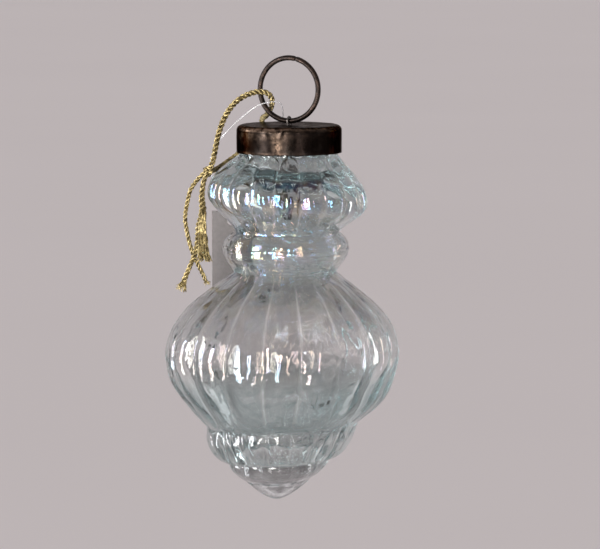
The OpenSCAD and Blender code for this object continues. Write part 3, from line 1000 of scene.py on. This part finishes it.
def makeTag():
    count = 64
    rings = []
    for share in (0, 0.12, 0.3, 0.5, 0.75, 1):  # from the hole's edge out to the card's edge
        ring = []
        for k in range(count):
            a = 2 * math.pi * k / count
            c, s = math.cos(a), math.sin(a)
            up, down = tag["holeDrop"], tag["tall"] - tag["holeDrop"]
            reachY = up if s > 0 else down
            edge = min(tag["wide"] / 2 / max(abs(c), 1e-6), reachY / max(abs(s), 1e-6))
            r = tag["holeR"] + (edge - tag["holeR"]) * share
            ring.append((r * c, r * s - tag["holeDrop"]))
        rings.append(ring)
    corners = [(sx * tag["wide"] / 2, y) for sx in (-1, 1) for y in (0, -tag["tall"])]
    for x, y in corners:  # the nearest edge point becomes the true corner
        near = min(range(count), key=lambda k: (rings[-1][k][0] - x) ** 2 + (rings[-1][k][1] - y) ** 2)
        rings[-1][near] = (x, y)
    lean = math.radians(tag["lean"])
    store = newStore()
    for depth in (0, tag["thick"]):
        for ring in rings:
            for x, y in ring:
                curl = tag["curl"] * (2 * x / tag["wide"]) ** 2
                u, w, z = tag["top"]
                w += -y * math.sin(lean) + (depth + curl) * math.cos(lean)
                z += y * math.cos(lean) + (depth + curl) * math.sin(lean)
                store["points"].append(hung(u + x, w, z))
    layer = len(rings) * count
    for k in range(len(rings) - 1):
        for i in range(count):
            a, b = k * count + i, k * count + (i + 1) % count
            store["faces"].append((a, a + count, b + count, b))
            store["faces"].append((a + layer, b + layer, b + count + layer, a + count + layer))
    last = (len(rings) - 1) * count
    for i in range(count):
        a, b = i, (i + 1) % count
        store["faces"].append((a, b, b + layer, a + layer))
        store["faces"].append((last + a, last + a + layer, last + b + layer, last + b))
    piece = makePiece("card_tag", store, cardFinish())
    piece.data.shade_flat()
    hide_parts("hang_tag")
    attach(piece, "cap")
    print("tag made")


makeTag()


# Pale floor and soft studio light
studio = {
    "floorZ": -1.1,
    "floorSize": 160,
    "floor": (0.825, 0.80, 0.80),
    "ahead": (0.52, 0.475, 0.48),  # light from the side that the camera faces
    "behind": (0.16, 0.145, 0.145),  # and from behind the camera
    "fadeRound": (-0.95, -0.35),  # where one fades into the other
    "lamps": (
        # name, degrees round from the camera, distance, middle height, width, height, watts, colour
        ("window_left", -56, 1, -0.15, 0.26, 1.1, 19, (0.98, 0.985, 1)),
        ("window_side", -105, 1.2, -0.1, 0.3, 1.1, 13, (0.96, 0.98, 1)),
        ("window_middle", -14, 1.3, -0.25, 0.3, 1.4, 28, (1, 0.97, 0.93)),
        ("window_near_right", 24, 1.3, -0.12, 0.16, 1, 6, (1, 0.92, 0.9)),
        ("window_right", 110, 1.3, -0.1, 0.12, 0.9, 2.5, (1, 0.97, 0.95)),
    ),
    "sky": 0.4, "skyAt": (0, 200, 2000), "skySoft": 80,
    "seenThrough": 0.06,  # strength of a lamp that is seen through the glass
    "panes": 5, "paneLight": (0.03, 1.9), "paneEdge": (0.46, 0.54),  # uneven light across a lamp
    "bounces": 32, "mirrorBounces": 12,  # light crosses four walls of glass
}


def makeWorld():
    world = bpy.data.worlds.new("studio")
    world.use_nodes = True
    place = addNode(world, "ShaderNodeTexCoord")
    settings = {"operation": "DOT_PRODUCT"}
    away = addNode(world, "ShaderNodeVectorMath", {1: hung(0, 1, 0) / mm}, settings)
    join(world, place.outputs["Generated"], away.inputs[0])
    share = span(world, away.outputs["Value"], 0, 1, *studio["fadeRound"])
    colour = ramp(world, share, ((0, studio["behind"]), (1, studio["ahead"])))
    join(world, colour, world.node_tree.nodes["Background"].inputs["Color"])
    bpy.context.scene.world = world


def addLamp(name, kind, place, watts, colour=(1, 1, 1)):
    light = bpy.data.lights.new(name, kind)
    light.energy = watts
    light.color = colour
    lamp = bpy.data.objects.new(name, light)
    bpy.context.scene.collection.objects.link(lamp)
    lamp.location = place
    aim(lamp, hung(*shot["middle"]))
    lamp.visible_camera = False
    return lamp


def lampGroup(name, state):  # what a lamp lights: only the glass, or all but the glass
    group = bpy.data.collections.new(name)
    group.objects.link(bpy.data.objects["blown_glass"])
    group.collection_objects[0].light_linking.link_state = state
    return group


def shapeLight(light):  # uneven, and not burnt out where it is seen through the glass and not mirrored
    light.use_nodes = True
    path = addNode(light, "ShaderNodeLightPath")
    straight = addNode(light, "ShaderNodeMath", {1: 0.5}, {"operation": "LESS_THAN"})
    join(light, path.outputs["Glossy Depth"], straight.inputs[0])
    through = multiply(light, path.outputs["Transmission Depth"], straight.outputs["Value"])
    dimmed = span(light, through, 1, studio["seenThrough"], 0, 1)
    place = addNode(light, "ShaderNodeNewGeometry")
    panes = addNode(light, "ShaderNodeTexNoise", {"Scale": studio["panes"]})
    join(light, place.outputs["Parametric"], panes.inputs["Vector"])
    uneven = span(light, panes.outputs["Fac"], *studio["paneLight"], *studio["paneEdge"])
    strength = light.node_tree.nodes["Emission"].inputs["Strength"]
    join(light, multiply(light, dimmed, uneven), strength)


def makeStudio():
    finish, shader = newFinish("pale_floor", {"Roughness": 0.9})
    low = tuple(v * 0.985 for v in studio["floor"])
    colour = ramp(finish, grain(finish, 0.6, 2), ((0.3, low), (0.7, studio["floor"])))
    join(finish, colour, shader.inputs["Base Color"])
    half = studio["floorSize"] / 2
    sides = ((-half, -half), (half, -half), (half, half), (-half, half))
    corners = [Vector((x, y, studio["floorZ"])) for x, y in sides]
    floor = makePiece("floor", {"points": corners, "faces": [(0, 1, 2, 3)]}, finish)
    groups = {"on_glass": lampGroup("lit_glass", "INCLUDE"), "on_rest": lampGroup("lit_rest", "EXCLUDE")}
    for name, turn, far, z, wide, tall, watts, colour in studio["lamps"]:
        a = math.radians(turn)
        place = hung(math.sin(a) * far / mm, -math.cos(a) * far / mm, z / mm)
        for what, group in groups.items():
            lamp = addLamp(name + "_" + what, "AREA", place, watts, colour)
            lamp.light_linking.receiver_collection = group
            lamp.data.shape = "RECTANGLE"
            lamp.data.size = wide
            lamp.data.size_y = tall
            if what == "on_glass":
                shapeLight(lamp.data)
    sky = addLamp("sky", "SUN", hung(*studio["skyAt"]), studio["sky"])
    sky.data.angle = math.radians(studio["skySoft"])
    scene = bpy.context.scene
    scene.view_settings.view_transform = "Standard"
    scene.cycles.max_bounces = studio["bounces"]
    scene.cycles.transmission_bounces = studio["bounces"]
    scene.cycles.glossy_bounces = studio["mirrorBounces"]


makeWorld()
makeStudio()
print("studio lit")
